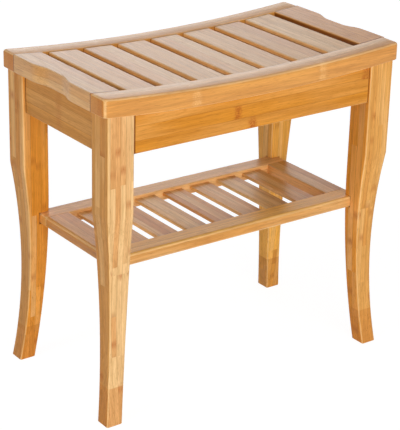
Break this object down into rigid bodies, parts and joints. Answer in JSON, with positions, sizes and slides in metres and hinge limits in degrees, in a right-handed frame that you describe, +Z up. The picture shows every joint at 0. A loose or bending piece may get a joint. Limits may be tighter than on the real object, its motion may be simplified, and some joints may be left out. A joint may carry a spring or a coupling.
{
  "type": "shower bench",
  "caption": "Slatted bamboo shower bench with a sagging seat, hand-holds scooped in the ends, curved sabre legs and a slatted lower shelf.",
  "frame": {"origin": "on the floor, below the middle of the seat", "axes": "+X along the bench, +Y from its front to its rear, +Z up"},
  "size_m": [0.472, 0.25, 0.45],
  "materials": {
    "bamboo_frame": "satin",
    "bamboo_slats": "satin",
    "bamboo_legs": "satin",
    "inner_wood": "matte",
    "hardware": "satin"
  },
  "bodies": {
    "root": {"seat_rail_front": "bamboo_frame", "seat_rail_rear": "bamboo_frame", "seat_end_left": "bamboo_frame", "seat_end_right": "bamboo_frame", "seat_slat_1": "bamboo_slats", "seat_slat_2": "bamboo_slats", "seat_slat_3": "bamboo_slats", "seat_slat_4": "bamboo_slats", "seat_slat_5": "bamboo_slats", "seat_slat_6": "bamboo_slats", "seat_slat_7": "bamboo_slats", "apron_front": "bamboo_frame", "apron_rear": "bamboo_frame", "apron_left": "bamboo_frame", "apron_right": "bamboo_frame", "leg_front_left": "bamboo_legs", "leg_front_right": "bamboo_legs", "leg_rear_left": "bamboo_legs", "leg_rear_right": "bamboo_legs", "corner_block_front_left": "inner_wood", "corner_block_front_right": "inner_wood", "corner_block_rear_left": "inner_wood", "corner_block_rear_right": "inner_wood", "shelf_rail_front": "bamboo_frame", "shelf_rail_rear": "bamboo_frame", "shelf_end_left": "bamboo_frame", "shelf_end_right": "bamboo_frame", "shelf_slat_1": "bamboo_slats", "shelf_slat_2": "bamboo_slats", "shelf_slat_3": "bamboo_slats", "shelf_slat_4": "bamboo_slats", "shelf_slat_5": "bamboo_slats", "shelf_slat_6": "bamboo_slats", "shelf_slat_7": "bamboo_slats", "leg_bolts": "hardware", "leg_washers": "hardware", "leg_inserts": "hardware", "block_screws": "hardware", "end_dowels": "inner_wood", "apron_dowels": "inner_wood", "shelf_dowels": "inner_wood", "leg_dowels": "inner_wood"}
  },
  "joints": []
}
